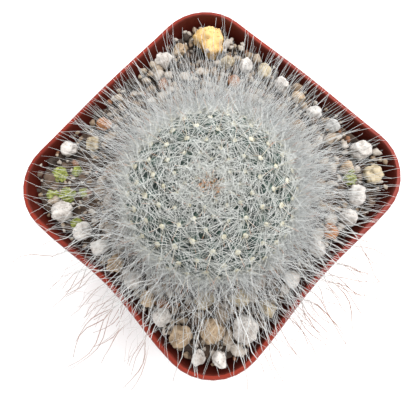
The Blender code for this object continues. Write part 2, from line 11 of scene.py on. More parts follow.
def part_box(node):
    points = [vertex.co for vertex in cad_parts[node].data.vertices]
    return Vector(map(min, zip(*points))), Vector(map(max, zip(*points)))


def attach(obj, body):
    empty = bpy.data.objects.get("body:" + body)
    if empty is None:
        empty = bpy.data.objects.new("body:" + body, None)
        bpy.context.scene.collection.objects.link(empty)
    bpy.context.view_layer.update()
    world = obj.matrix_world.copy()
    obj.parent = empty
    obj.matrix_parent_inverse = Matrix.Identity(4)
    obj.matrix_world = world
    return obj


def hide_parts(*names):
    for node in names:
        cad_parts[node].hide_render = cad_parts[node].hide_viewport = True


# Potted old lady cactus, seen from above one corner of its square nursery pot.
# Metres, +Z up; the pot's walls face X and Y.

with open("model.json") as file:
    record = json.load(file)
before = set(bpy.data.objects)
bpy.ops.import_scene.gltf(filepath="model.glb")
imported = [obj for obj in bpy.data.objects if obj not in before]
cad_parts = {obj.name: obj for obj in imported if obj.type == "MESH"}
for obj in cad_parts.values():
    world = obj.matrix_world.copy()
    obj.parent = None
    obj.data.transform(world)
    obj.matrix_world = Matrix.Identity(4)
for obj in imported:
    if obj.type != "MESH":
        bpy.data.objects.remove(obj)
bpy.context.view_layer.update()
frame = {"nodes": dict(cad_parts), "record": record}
nodes = frame["nodes"]
mm = 0.001
goldenAngle = math.pi * (3.0 - math.sqrt(5.0))
fullTurn = 6.283  # radians, close enough for random turns
skyHigh = 0.2  # metres, where the rays that feel for the ground start


def unit(rows):
    return rows / np.maximum(np.linalg.norm(rows, axis=-1, keepdims=True), 1e-12)


def meshPiece(name, points, quads, triangles, material, smooth=True):
    points = np.asarray(points, dtype=np.float32).reshape(-1, 3)
    quads = np.asarray(quads, dtype=np.int32).reshape(-1, 4)
    triangles = np.asarray(triangles, dtype=np.int32).reshape(-1, 3)
    mesh = bpy.data.meshes.new(name)
    mesh.vertices.add(len(points))
    mesh.vertices.foreach_set("co", points.ravel())
    corners = np.concatenate([quads.ravel(), triangles.ravel()])
    sizes = np.concatenate([np.full(len(quads), 4), np.full(len(triangles), 3)]).astype(np.int32)
    starts = np.concatenate([[0], np.cumsum(sizes)[:-1]]).astype(np.int32)
    mesh.loops.add(len(corners))
    mesh.loops.foreach_set("vertex_index", corners)
    mesh.polygons.add(len(sizes))
    mesh.polygons.foreach_set("loop_start", starts)
    mesh.polygons.foreach_set("use_smooth", np.full(len(sizes), smooth))
    mesh.update(calc_edges=True)
    mesh.validate()
    mesh.materials.append(material)
    piece = bpy.data.objects.new(name, mesh)
    bpy.context.scene.collection.objects.link(piece)
    return piece


def paintPoints(piece, name, values):
    layer = piece.data.color_attributes.new(name, "FLOAT_COLOR", "POINT")
    full = np.ones((len(values), 4), dtype=np.float32)
    full[:, :values.shape[1]] = values
    layer.data.foreach_set("color", full.ravel())


def tubesPiece(name, paths, radii, material, rng, sides=3, reach=None):
    count, steps = paths.shape[0], paths.shape[1]
    ahead = np.empty_like(paths)
    ahead[:, 1:-1] = paths[:, 2:] - paths[:, :-2]
    ahead[:, 0] = paths[:, 1] - paths[:, 0]
    ahead[:, -1] = paths[:, -1] - paths[:, -2]
    ahead = unit(ahead)
    chance = unit(rng.normal(size=(count, 3)))
    first = unit(np.cross(ahead[:, 0], chance))
    first = np.repeat(first[:, None, :], steps, axis=1)
    first = unit(first - ahead * np.sum(first * ahead, axis=2, keepdims=True))
    second = np.cross(ahead, first)
    turns = 2.0 * np.pi * np.arange(sides) / sides
    ring = (first[:, :, None, :] * np.cos(turns)[None, None, :, None]
            + second[:, :, None, :] * np.sin(turns)[None, None, :, None])
    points = paths[:, :, None, :] + ring * radii[:, :, None, None]
    index = np.arange(count * steps * sides).reshape(count, steps, sides)
    a = index[:, :-1, :]
    b = np.roll(index, -1, axis=2)[:, :-1, :]
    c = np.roll(index, -1, axis=2)[:, 1:, :]
    d = index[:, 1:, :]
    quads = np.stack([a, b, c, d], axis=-1).reshape(-1, 4)
    ends = np.concatenate([index[:, 0, ::-1], index[:, -1, :]])
    caps = np.concatenate([ends[:, (0, i, i + 1)] for i in range(1, sides - 1)])
    piece = meshPiece(name, points, quads, caps, material)
    along = np.broadcast_to(np.linspace(0, 1, steps)[None, :, None], (count, steps, sides))
    chances = np.broadcast_to(rng.random(count)[:, None, None], (count, steps, sides))
    outside = np.zeros((count, steps, sides))
    if reach is not None:
        far = np.max(np.abs(paths[:, :, :2]), axis=2)  # past the pot's square rim
        far = np.clip((far - reach["start"]) / (reach["end"] - reach["start"]), 0, 1)
        outside = np.broadcast_to(far[:, :, None], (count, steps, sides))
    # red: from base to tip, green: past the rim, blue: its own chance
    paintPoints(piece, "strand", np.stack([along, outside, chances], axis=-1).reshape(-1, 3))
    return piece


def settle(piece, node=None):
    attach(piece, "root")
    if node:
        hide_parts(node)


def newMaterial(name):
    material = bpy.data.materials.new(name)
    material.use_nodes = True
    tree = material.node_tree
    return material, tree, tree.nodes["Principled BSDF"]


def addNode(tree, kind, **settings):
    node = tree.nodes.new(kind)
    for key, value in settings.items():
        setattr(node, key, value)
    return node


def grey(value):
    return (value, value, value)


def noiseInto(tree, scale, detail=4.0, roughness=0.55):
    place = addNode(tree, "ShaderNodeTexCoord")
    pattern = addNode(tree, "ShaderNodeTexNoise")
    pattern.inputs["Scale"].default_value = scale
    pattern.inputs["Detail"].default_value = detail
    pattern.inputs["Roughness"].default_value = roughness
    tree.links.new(place.outputs["Object"], pattern.inputs["Vector"])
    return pattern


def rampFrom(tree, source, stops):
    ramp = addNode(tree, "ShaderNodeValToRGB")
    elements = ramp.color_ramp.elements
    while len(elements) < len(stops):
        elements.new(0.5)
    for element, (place, colour) in zip(elements, stops):
        element.position = place
        element.color = (*colour, 1.0)
    tree.links.new(source, ramp.inputs["Fac"])
    return ramp


def mixColours(tree, share, first, second, blend="MIX"):
    mix = addNode(tree, "ShaderNodeMix", data_type="RGBA", blend_type=blend)
    if isinstance(share, float):
        mix.inputs[0].default_value = share
    else:
        tree.links.new(share, mix.inputs[0])
    for socket, value in ((mix.inputs[6], first), (mix.inputs[7], second)):
        if isinstance(value, tuple):
            socket.default_value = (*value, 1.0)
        else:
            tree.links.new(value, socket)
    return mix.outputs[2]


def finishSurface(tree, shader, height, look):
    if "rough" in look:
        shader.inputs["Roughness"].default_value = look["rough"]
    bump = addNode(tree, "ShaderNodeBump")
    bump.inputs["Strength"].default_value = look["bumpStrength"]
    bump.inputs["Distance"].default_value = look["bumpDepth"]
    tree.links.new(height, bump.inputs["Height"])
    tree.links.new(bump.outputs["Normal"], shader.inputs["Normal"])


potLook = {
    "wall": (0.240, 0.024, 0.010),
    "wallDeep": (0.165, 0.015, 0.008),
    "dust": (0.34, 0.14, 0.10),
    "dustMost": 0.3,
    "paintedShadeAndRimTint": (0.080, 0.013, 0.008),  # painted shade on the inner walls, which face the plant
    "paintedShadeFrom": -8.0 * mm, "paintedShadeFull": -26.0 * mm, "paintedShadeMost": 0.92,
    "cloudScale": 60.0, "speckScale": 480.0,
    "grainScale": 900.0, "bumpStrength": 0.22, "bumpDepth": 0.12 * mm,
    "roughLow": 0.36, "roughHigh": 0.52, "specular": 0.2,
}


# Share of painted shade: 0 on the rim top, floor and outer walls, rising on the inner walls that
# face the plant
def innerWallShadeShare(tree):
    place = addNode(tree, "ShaderNodeTexCoord")
    flat = addNode(tree, "ShaderNodeVectorMath", operation="MULTIPLY")
    flat.inputs[1].default_value = (1.0, 1.0, 0.0)
    tree.links.new(place.outputs["Object"], flat.inputs[0])
    facing = addNode(tree, "ShaderNodeVectorMath", operation="DOT_PRODUCT")
    tree.links.new(flat.outputs["Vector"], facing.inputs[0])
    tree.links.new(place.outputs["Normal"], facing.inputs[1])
    share = addNode(tree, "ShaderNodeMapRange")
    for socket, value in (("From Min", potLook["paintedShadeFrom"]), ("From Max", potLook["paintedShadeFull"]),
                          ("To Min", 0.0), ("To Max", potLook["paintedShadeMost"])):
        share.inputs[socket].default_value = value
    tree.links.new(facing.outputs["Value"], share.inputs["Value"])
    return share.outputs["Result"]


def potPlastic():
    material, tree, shader = newMaterial("potPlastic")
    cloud = noiseInto(tree, potLook["cloudScale"], 5.0)
    colour = rampFrom(tree, cloud.outputs["Fac"],
                      [(0.35, potLook["wallDeep"]), (0.62, potLook["wall"])])
    specks = noiseInto(tree, potLook["speckScale"], 3.0, 0.7)
    mask = rampFrom(tree, specks.outputs["Fac"],
                    [(0.64, grey(0.0)), (0.80, grey(potLook["dustMost"]))])
    dusty = mixColours(tree, mask.outputs["Color"], colour.outputs["Color"], potLook["dust"])
    # painted shade mixed onto the inner walls
    tree.links.new(mixColours(tree, innerWallShadeShare(tree), dusty, potLook["paintedShadeAndRimTint"]),
                   shader.inputs["Base Color"])
    rough = rampFrom(tree, cloud.outputs["Fac"],
                     [(0.3, grey(potLook["roughLow"])), (0.7, grey(potLook["roughHigh"]))])
    tree.links.new(rough.outputs["Color"], shader.inputs["Roughness"])
    shader.inputs["Specular IOR Level"].default_value = potLook["specular"]
    grain = noiseInto(tree, potLook["grainScale"], 2.0)
    finishSurface(tree, shader, grain.outputs["Fac"], potLook)
    return material


# Skin colours by tubercle height: painted shade, darkest in the valleys between tubercles and
# less on the flanks; the tips carry the skin's own green
skinLook = {
    "valley": (0.006, 0.014, 0.011),
    "flankPaintedShade": (0.017, 0.040, 0.031),
    "tip": (0.060, 0.105, 0.085),
    "bloom": (0.11, 0.16, 0.14),
    "bloomMost": 0.45, "bloomScale": 420.0,
    "rough": 0.48, "glow": 0.12, "glowReach": (0.0006, 0.001, 0.0005),
    "poreScale": 2600.0, "bumpStrength": 0.35, "bumpDepth": 0.12 * mm,
}


def cactusSkin():
    material, tree, shader = newMaterial("cactusSkin")
    form = addNode(tree, "ShaderNodeAttribute", attribute_name="form")
    split = addNode(tree, "ShaderNodeSeparateColor")
    tree.links.new(form.outputs["Color"], split.inputs["Color"])
    # painted shade: darker from the tubercle tips down into the valleys
    colour = rampFrom(tree, split.outputs["Red"],
                      [(0.0, skinLook["valley"]), (0.4, skinLook["flankPaintedShade"]),
                       (0.95, skinLook["tip"])])
    cloud = noiseInto(tree, skinLook["bloomScale"])
    mask = rampFrom(tree, cloud.outputs["Fac"],
                    [(0.45, grey(0.0)), (0.75, grey(skinLook["bloomMost"]))])
    tree.links.new(mixColours(tree, mask.outputs["Color"], colour.outputs["Color"],
                              skinLook["bloom"]), shader.inputs["Base Color"])
    shader.inputs["Subsurface Weight"].default_value = skinLook["glow"]
    shader.inputs["Subsurface Radius"].default_value = skinLook["glowReach"]
    pores = noiseInto(tree, skinLook["poreScale"], 3.0)
    finishSurface(tree, shader, pores.outputs["Fac"], skinLook)
    return material


strandLook = {  # colours along a strand run from base to tip
    "whiteSpines": [(0.0, (0.46, 0.45, 0.38)), (0.25, (0.66, 0.67, 0.64)),
                    (1.0, (0.74, 0.755, 0.735))],
    "brownTippedSpines": [(0.0, (0.68, 0.64, 0.52)), (0.6, (0.72, 0.68, 0.58)),
                          (0.84, (0.45, 0.19, 0.09)), (1.0, (0.28, 0.07, 0.03))],
    "orangeSpines": [(0.0, (0.70, 0.66, 0.56)), (0.5, (0.74, 0.54, 0.34)),
                     (0.8, (0.70, 0.29, 0.09))],
    "longWhiteHair": [(0.0, (0.55, 0.555, 0.55)), (1.0, (0.655, 0.66, 0.65))],
    "curlyWoolLook": [(0.0, (0.50, 0.52, 0.525)), (1.0, (0.585, 0.605, 0.605))],
    "feltFibres": [(0.0, (0.62, 0.54, 0.34)), (1.0, (0.78, 0.75, 0.60))],
    "peatFibreLook": [(0.0, (0.12, 0.06, 0.03)), (1.0, (0.34, 0.20, 0.11))],
    "paintedShadeAndRimTint": (0.30, 0.175, 0.135),  # reddish brown mixed into hair past the rim
    "dull": (0.80, 0.81, 0.80), "dullUntil": 0.6,
    "rough": 0.42, "specular": 0.35,
    "grainScale": 5000.0, "bumpStrength": 0.2, "bumpDepth": 0.03 * mm,
}


def strandMaterial(name, tintedPastRim=False):
    material, tree, shader = newMaterial(name)
    strand = addNode(tree, "ShaderNodeAttribute", attribute_name="strand")
    split = addNode(tree, "ShaderNodeSeparateColor")
    tree.links.new(strand.outputs["Color"], split.inputs["Color"])
    colour = rampFrom(tree, split.outputs["Red"], strandLook[name]).outputs["Color"]
    shade = rampFrom(tree, split.outputs["Blue"],
                     [(0.0, strandLook["dull"]), (strandLook["dullUntil"], grey(1.0))])
    colour = mixColours(tree, 1.0, colour, shade.outputs["Color"], "MULTIPLY")
    if tintedPastRim:
        # reddish brown tint on hair past the pot's rim
        colour = mixColours(tree, split.outputs["Green"], colour, strandLook["paintedShadeAndRimTint"])
    tree.links.new(colour, shader.inputs["Base Color"])
    shader.inputs["Specular IOR Level"].default_value = strandLook["specular"]
    fine = noiseInto(tree, strandLook["grainScale"], 2.0)
    finishSurface(tree, shader, fine.outputs["Fac"], strandLook)
    return material


soilLook = {
    "dark": (0.018, 0.012, 0.009),
    "brown": (0.060, 0.036, 0.023),
    "pale": (0.11, 0.076, 0.052),
    "clodScale": 520.0, "bumpStrength": 0.9, "bumpDepth": 0.7 * mm, "rough": 0.93,
}


def compostMaterial():
    material, tree, shader = newMaterial("darkCompost")
    clods = noiseInto(tree, soilLook["clodScale"], 8.0, 0.7)
    colour = rampFrom(tree, clods.outputs["Fac"],
                      [(0.36, soilLook["dark"]), (0.56, soilLook["brown"]),
                       (0.74, soilLook["pale"])])
    tree.links.new(colour.outputs["Color"], shader.inputs["Base Color"])
    finishSurface(tree, shader, clods.outputs["Fac"], soilLook)
    return material


stoneTints = {  # a darker and a lighter tone mixed by a noise cloud, and painted shade for the pores
    "stone_white": ((0.32, 0.28, 0.25), (0.70, 0.66, 0.62), (0.20, 0.17, 0.15)),
    "stone_cream": ((0.24, 0.19, 0.12), (0.56, 0.47, 0.32), (0.15, 0.11, 0.07)),
    "stone_tan": ((0.20, 0.14, 0.085), (0.47, 0.35, 0.23), (0.12, 0.08, 0.05)),
    "stone_grey": ((0.34, 0.33, 0.32), (0.62, 0.61, 0.59), (0.20, 0.19, 0.18)),
    "stone_ochre": ((0.46, 0.26, 0.07), (0.78, 0.52, 0.21), (0.28, 0.15, 0.05)),
    "bark": ((0.16, 0.062, 0.022), (0.42, 0.19, 0.08), (0.07, 0.03, 0.015)),
}
stoneLook = {
    "cloudScale": 420.0, "poreScale": 1500.0, "poreShadeMost": 0.75, "rough": 0.88,
    "grainScale": 2200.0, "bumpStrength": 0.7, "bumpDepth": 0.25 * mm,
}


def stoneMaterial(name, low, high, paintedPoreShade):
    material, tree, shader = newMaterial(name + "Look")
    cloud = noiseInto(tree, stoneLook["cloudScale"], 6.0, 0.62)
    colour = rampFrom(tree, cloud.outputs["Fac"], [(0.34, low), (0.6, high)])
    place = addNode(tree, "ShaderNodeTexCoord")
    pores = addNode(tree, "ShaderNodeTexVoronoi")
    pores.inputs["Scale"].default_value = stoneLook["poreScale"]
    tree.links.new(place.outputs["Object"], pores.inputs["Vector"])
    # painted shade: dark spots where pores would be, with no pores in the shape
    mask = rampFrom(tree, pores.outputs["Distance"],
                    [(0.12, grey(stoneLook["poreShadeMost"])), (0.30, grey(0.0))])
    tree.links.new(mixColours(tree, mask.outputs["Color"], colour.outputs["Color"], paintedPoreShade),
                   shader.inputs["Base Color"])
    fine = noiseInto(tree, stoneLook["grainScale"], 5.0, 0.7)
    finishSurface(tree, shader, fine.outputs["Fac"], stoneLook)
    return material


crumbLook = {
    "shade": (0.62, 0.60, 0.57), "cloudScale": 1400.0, "rough": 0.9,
    "bumpStrength": 0.6, "bumpDepth": 0.2 * mm,
}


def gritMaterial():
    material, tree, shader = newMaterial("mixedGrit")
    tint = addNode(tree, "ShaderNodeAttribute", attribute_name="tint")
    cloud = noiseInto(tree, crumbLook["cloudScale"])
    shade = rampFrom(tree, cloud.outputs["Fac"], [(0.3, crumbLook["shade"]), (0.65, grey(1.0))])
    tree.links.new(mixColours(tree, 1.0, tint.outputs["Color"], shade.outputs["Color"],
                              "MULTIPLY"), shader.inputs["Base Color"])
    finishSurface(tree, shader, cloud.outputs["Fac"], crumbLook)
    return material


stem = {
    "x": -1.8 * mm, "y": -2.2 * mm, "radius": 14.8 * mm, "rise": 15.0 * mm,
    "middle": 65.6 * mm, "tubercle": 2.0 * mm, "spacing": 3.5 * mm, "tipSpacing": 1.6 * mm,
    "spacingZone": math.radians(48.0), "tubercleZone": math.radians(40.0),
    "youngTubercle": (0.45, 0.55),  # height at the apex, and what is added down the zone
    "packing": 0.90, "firstPlace": 0.35, "searchSteps": 4000,  # packing in spacings squared
    "crease": 1.35, "apexHub": 0.6,  # sharpness of the valleys, height of the middle point
    "lastTubercle": math.radians(116.0), "fade": (0.02, 0.12), "neck": math.radians(134.0),
    "leanX": -0.085, "leanY": -0.15, "leanFrom": 54.8 * mm,
    "foot": ((10.0, 53.6), (8.8, 49.8), (6.0, 46.3)),  # radius and height in mm
    "rows": 130, "columns": 280,
}


def smoothStep(value):
    value = np.clip(value, 0.0, 1.0)
    return value * value * (3.0 - 2.0 * value)


def leaned(points, way=1.0):  # way -1.0 sets points upright again
    moved = np.array(points, dtype=float)
    rise = np.maximum(0.0, moved[..., 2] - stem["leanFrom"])
    moved[..., 0] += way * (stem["x"] + stem["leanX"] * rise)
    moved[..., 1] += way * (stem["y"] + stem["leanY"] * rise)
    return moved


# A point on the stem, down from the apex and around it, lifted off the plain globe.
def globePoint(down, around, lift):
    nx, nz = np.sin(down) / stem["radius"], np.cos(down) / stem["rise"]
    size = np.hypot(nx, nz)
    nx, nz = nx / size, nz / size
    r = stem["radius"] * np.sin(down) + nx * lift
    z = stem["middle"] + stem["rise"] * np.cos(down) + nz * lift
    return np.stack([r * np.cos(around), r * np.sin(around), z], axis=-1)


def spacingAt(down):
    share = smoothStep(down / stem["spacingZone"])
    return stem["tipSpacing"] + (stem["spacing"] - stem["tipSpacing"]) * share


def tubercleAt(down):
    least, added = stem["youngTubercle"]
    share = smoothStep(down / stem["tubercleZone"])
    return stem["tubercle"] * np.minimum(1.0, least + added * share)


# Golden-angle places, each taking the ground that the spacing there asks for.
def tuberclePlaces():
    steps, filled, places = stem["searchSteps"], stem["firstPlace"], []
    for step in range(steps):
        down = stem["lastTubercle"] * (step + 0.5) / steps
        arc = stem["lastTubercle"] / steps * 0.5 * (stem["radius"] + stem["rise"])
        area = 2.0 * math.pi * stem["radius"] * math.sin(down) * arc
        filled += area / (stem["packing"] * spacingAt(down) ** 2)
        if filled >= len(places) + 1:
            places.append((down, len(places) * goldenAngle))
    return np.array(places)


def onSphere(down, around):
    return np.stack([np.sin(down) * np.cos(around), np.sin(down) * np.sin(around),
                     np.cos(down)], axis=-1)


# 1 on a tubercle's tip, 0 in the valley between it and its nearest neighbour.
def tubercleShare(down, around, places):
    tips = onSphere(places[:, 0], places[:, 1])
    here = onSphere(down, around).reshape(-1, 3)
    gaps = np.arccos(np.clip(here @ tips.T, -1.0, 1.0))
    two = np.partition(gaps, 1, axis=1)[:, :2]
    edge = 2.0 * two[:, 0] / np.maximum(two[:, 0] + two[:, 1], 1e-9)
    return (1.0 - edge ** stem["crease"]).reshape(np.shape(down))


def buildStem(places, material):
    rows, columns = stem["rows"], stem["columns"]
    downs = stem["neck"] * (np.arange(rows) + 0.5) / rows
    arounds = 2.0 * np.pi * np.arange(columns) / columns
    down, around = np.meshgrid(downs, arounds, indexing="ij")
    share = tubercleShare(down, around, places)
    fadeFrom, fadeOver = stem["fade"]
    share = share * (1.0 - smoothStep((down - stem["lastTubercle"] - fadeFrom) / fadeOver))
    rings = [leaned(globePoint(down, around, tubercleAt(down) * share))]
    for radius, level in stem["foot"]:
        ring = np.stack([radius * mm * np.cos(arounds), radius * mm * np.sin(arounds),
                         np.full(columns, level * mm)], axis=-1)
        rings.append(leaned(ring)[None])
    allRings = np.concatenate(rings)
    count = allRings.shape[0]
    index = np.arange(count * columns).reshape(count, columns)
    nextColumn = np.roll(index, -1, axis=1)
    quads = np.stack([index[:-1], index[1:], nextColumn[1:], nextColumn[:-1]],
                     axis=-1).reshape(-1, 4)
    top = leaned(globePoint(np.array([0.0]), np.array([0.0]),
                            np.array([tubercleAt(0.0) * stem["apexHub"]])))
    low = leaned(np.array([[0.0, 0.0, stem["foot"][-1][1] * mm]]))
    verts = np.concatenate([allRings.reshape(-1, 3), top, low])
    hub, base = count * columns, count * columns + 1
    fan = [(hub, index[0, i], nextColumn[0, i]) for i in range(columns)]
    fan += [(base, nextColumn[-1, i], index[-1, i]) for i in range(columns)]
    piece = meshPiece("cactusStem", verts, quads, fan, material)
    form = np.zeros((len(verts), 1))
    form[:rows * columns, 0] = share.reshape(-1)
    form[hub, 0] = stem["apexHub"]
    paintPoints(piece, "form", form)
    return piece


ground = {
    "half": 40.0 * mm, "cells": 200, "slope": 0.8, "rampCells": 14,
    "nothing": -20.0 * mm,  # height where no ray hits
}
cellSize = 2.0 * ground["half"] / ground["cells"]


def groundMap():
    cells = ground["cells"]
    trees = []
    for name, node in nodes.items():
        if name != "cactus":
            faces = [tuple(p.vertices) for p in node.data.polygons]
            trees.append(BVHTree.FromPolygons([v.co for v in node.data.vertices], faces))
    heights = np.full((cells, cells), ground["nothing"])
    for i in range(cells):
        for j in range(cells):
            x = -ground["half"] + (i + 0.5) * cellSize
            y = -ground["half"] + (j + 0.5) * cellSize
            for tree in trees:
                hit = tree.ray_cast(Vector((x, y, skyHigh)), Vector((0, 0, -1)))
                if hit[0] is not None:
                    heights[i, j] = max(heights[i, j], hit[0].z)
    bare = heights.copy()
    # a ramp beside each edge, so that hair rises over it smoothly
    for turn in range(ground["rampCells"]):
        spread = heights.copy()
        for axis in (0, 1):
            for shift in (-1, 1):
                spread = np.maximum(spread, np.roll(heights, shift, axis)
                                    - ground["slope"] * cellSize)
        heights = spread
    return bare, heights


# Height of what lies under each point; heights is bareGround or the ramped hairGround.
def heightUnder(points, heights):
    cells = ground["cells"]
    i = np.clip(((points[..., 0] + ground["half"]) / cellSize).astype(int), 0, cells - 1)
    j = np.clip(((points[..., 1] + ground["half"]) / cellSize).astype(int), 0, cells - 1)
    found = heights[i, j]
    beyond = np.maximum(np.abs(points[..., 0]), np.abs(points[..., 1])) > ground["half"]
    return np.where(beyond, ground["nothing"], found)


strand = {
    "slowTurns": (0.5, 1.5), "fastTurns": (0.9, 2.4), "start": 6.28,
    "onSkin": 0.8,  # share of the tubercles' height that strands stay out of
    "clear": 0.25 * mm, "taper": 1.3, "spread": 0.2,
}


# Strands grow step by step, swing from side to side, fall, and keep off the stem and ground.
def growStrands(rng, bases, ways, lengths, steps, bend, fall, heights,
                clear=strand["clear"], pull=0.0, wave=1.0):
    count = len(bases)
    paths = np.zeros((count, steps + 1, 3))
    paths[:, 0] = bases
    way = unit(ways)
    side = unit(np.cross(way, unit(rng.normal(size=(count, 3)))))
    other = np.cross(way, side)
    turnsA = rng.uniform(*strand["slowTurns"], count) * wave
    turnsB = rng.uniform(*strand["fastTurns"], count) * wave
    startA = rng.uniform(0, strand["start"], count)
    startB = rng.uniform(0, strand["start"], count)
    skin = stem["tubercle"] * strand["onSkin"]
    shell = np.array([stem["radius"] + skin, stem["radius"] + skin, stem["rise"] + skin])
    middle = np.array([0.0, 0.0, stem["middle"]])
    for i in range(steps):
        t = (i + 0.5) / steps
        swing = (side * np.sin(fullTurn * turnsA * t + startA)[:, None]
                 + other * np.sin(fullTurn * turnsB * t + startB)[:, None])
        way = unit(way + swing * (bend / steps)[:, None]
                   + np.array([0.0, 0.0, -1.0]) * (fall * t / steps)[:, None] + pull / steps)
        here = paths[:, i] + way * (lengths / steps)[:, None]
        flat = leaned(here, -1.0) - middle
        share = np.sqrt(np.sum((flat / shell) ** 2, axis=1))
        inside = (share < 1.0) & (i > 0)
        flat[inside] /= share[inside][:, None]
        here[inside] = leaned(flat[inside] + middle)
        floor = heightUnder(here, heights) + clear
        here[:, 2] = np.maximum(here[:, 2], floor)
        way = unit(here - paths[:, i])
        paths[:, i + 1] = here
    return paths


def tapered(count, steps, base, tip, rng):
    along = np.linspace(0.0, 1.0, steps)[None, :]
    size = rng.uniform(1.0 - strand["spread"], 1.0 + strand["spread"], count)[:, None]
    return size * (base + (tip - base) * along ** strand["taper"]) * mm


spines = {  # widths are radii in mm, at the base and at the tip; rises are in degrees
    "radialSeed": 11, "centralSeed": 12, "apexSeed": 13, "steps": 4, "apexSteps": 3,
    "stoutSides": 4, "radials": 25, "radialsYoung": 38, "youngSpacing": 2.1 * mm,
    "radialLength": 5.3 * mm, "radialLengths": (0.7, 1.15), "radialWidth": (0.042, 0.020),
    "radialRise": (-6.0, 34.0), "youngRise": 16.0, "radialBend": (0.3, 1.5),
    "sideways": 0.5, "outset": (0.40, 1.05), "outsetDrop": 0.4, "youngRadials": (0.34, 0.66),
    "centrals": 2, "centralLength": 3.6 * mm, "centralLengths": (0.55, 1.2),
    "centralWidth": (0.052, 0.022), "centralRise": (48.0, 84.0), "centralBend": 0.12,
    "centralSunk": 0.1 * mm, "youngCentrals": (0.35, 0.65), "youngLeast": 0.3,
    "apexSpines": 60, "apexReach": 1.0 * mm, "apexLength": 1.9 * mm, "apexLengths": (0.6, 1.2),
    "apexWidth": (0.045, 0.03), "apexOutward": (-0.4, 1.1), "apexBend": 0.3, "apexLift": 0.7,
}


def spreadWays(rng, frames, owner, rises):
    axes, up, side = frames[1:]
    angle = rng.uniform(0, fullTurn, len(owner))
    rise = np.radians(rng.uniform(*rises, len(owner)))
    return fanWays(up[owner], side[owner], axes[owner], angle, rise)


def youngShare(down, least):
    return np.clip(spacingAt(down) / stem["spacing"], least, 1.0)


# For each tubercle: its tip, its axis, and the directions up and sideways across it.
def areoleFrames(places):
    down, around = places[:, 0], places[:, 1]
    tips = leaned(globePoint(down, around, tubercleAt(down)))
    bases = leaned(globePoint(down, around, np.zeros(len(down))))
    axes = unit(tips - bases)
    side = np.stack([-np.sin(around), np.cos(around), np.zeros(len(down))], axis=-1)
    up = unit(np.cross(side, axes))
    side = unit(np.cross(axes, up))
    return tips, axes, up, side


def fanWays(up, side, axes, angle, rise):
    flat = up * np.cos(angle)[:, None] + side * np.sin(angle)[:, None]
    return flat * np.cos(rise)[:, None] + axes * np.sin(rise)[:, None]


def buildRadials(places, frames, heights, material, part):
    rng = np.random.default_rng(spines["radialSeed"] + part)
    tips, axes, up, side = frames
    owner, angle = [], []
    for k, down in enumerate(places[:, 0]):
        if k % 2 != part:
            continue
        grown = spacingAt(down) > spines["youngSpacing"]
        number = spines["radials"] if grown else spines["radialsYoung"]
        for i in range(number):
            owner.append(k)
            sideways = math.pi * (rng.integers(2) + 0.5) + rng.normal(0.0, spines["sideways"])
            angle.append(sideways if i % 2 == 0 else rng.uniform(0.0, 2.0 * math.pi))
    owner, angle, count = np.array(owner), np.array(angle), len(owner)
    young = youngShare(places[owner, 0], spines["youngLeast"])
    rise = np.radians(rng.uniform(*spines["radialRise"], count)
                      + spines["youngRise"] * (1.0 - young))
    ways = fanWays(up[owner], side[owner], axes[owner], angle, rise)
    flat = up[owner] * np.cos(angle)[:, None] + side[owner] * np.sin(angle)[:, None]
    outset = rng.uniform(*spines["outset"], count)[:, None] * mm * young[:, None]
    bases = tips[owner] + flat * outset - axes[owner] * outset * spines["outsetDrop"]
    lengths = spines["radialLength"] * rng.uniform(*spines["radialLengths"], count)
    least, added = spines["youngRadials"]
    lengths *= least + added * young
    bend = rng.uniform(*spines["radialBend"], count)
    paths = growStrands(rng, bases, ways, lengths, spines["steps"], bend, np.zeros(count),
                        heights)
    radii = tapered(count, spines["steps"] + 1, *spines["radialWidth"], rng)
    return tubesPiece("radialSpines" + "AB"[part], paths, radii, material, rng)


def buildCentrals(places, frames, heights, material):
    rng = np.random.default_rng(spines["centralSeed"])
    tips, axes = frames[:2]
    owner = np.repeat(np.arange(len(places)), spines["centrals"])
    count = len(owner)
    ways = spreadWays(rng, frames, owner, spines["centralRise"])
    young = youngShare(places[owner, 0], spines["youngLeast"])
    least, added = spines["youngCentrals"]
    lengths = spines["centralLength"] * rng.uniform(*spines["centralLengths"], count)
    lengths *= least + added * young
    bend = np.full(count, spines["centralBend"])
    paths = growStrands(rng, tips[owner] - axes[owner] * spines["centralSunk"], ways, lengths,
                        spines["steps"], bend, np.zeros(count), heights)
    radii = tapered(count, spines["steps"] + 1, *spines["centralWidth"], rng)
    return tubesPiece("centralSpines", paths, radii, material, rng, spines["stoutSides"])


def buildApexTuft(heights, material):
    rng = np.random.default_rng(spines["apexSeed"])
    count = spines["apexSpines"]
    away = spines["apexReach"] * np.sqrt(rng.random(count))
    around = rng.uniform(0, fullTurn, count)
    down = away / stem["radius"]
    bases = leaned(globePoint(down, around, tubercleAt(down) * spines["apexLift"]))
    outward = np.stack([np.cos(around), np.sin(around), np.zeros(count)], axis=-1)
    spread = rng.uniform(*spines["apexOutward"], count)[:, None]
    ways = unit(np.array([0.0, 0.0, 1.0]) + outward * spread)
    lengths = spines["apexLength"] * rng.uniform(*spines["apexLengths"], count)
    bend = np.full(count, spines["apexBend"])
    paths = growStrands(rng, bases, ways, lengths, spines["apexSteps"], bend, np.zeros(count),
                        heights)
    radii = tapered(count, spines["apexSteps"] + 1, *spines["apexWidth"], rng)
    return tubesPiece("apexTuft", paths, radii, material, rng, spines["stoutSides"])


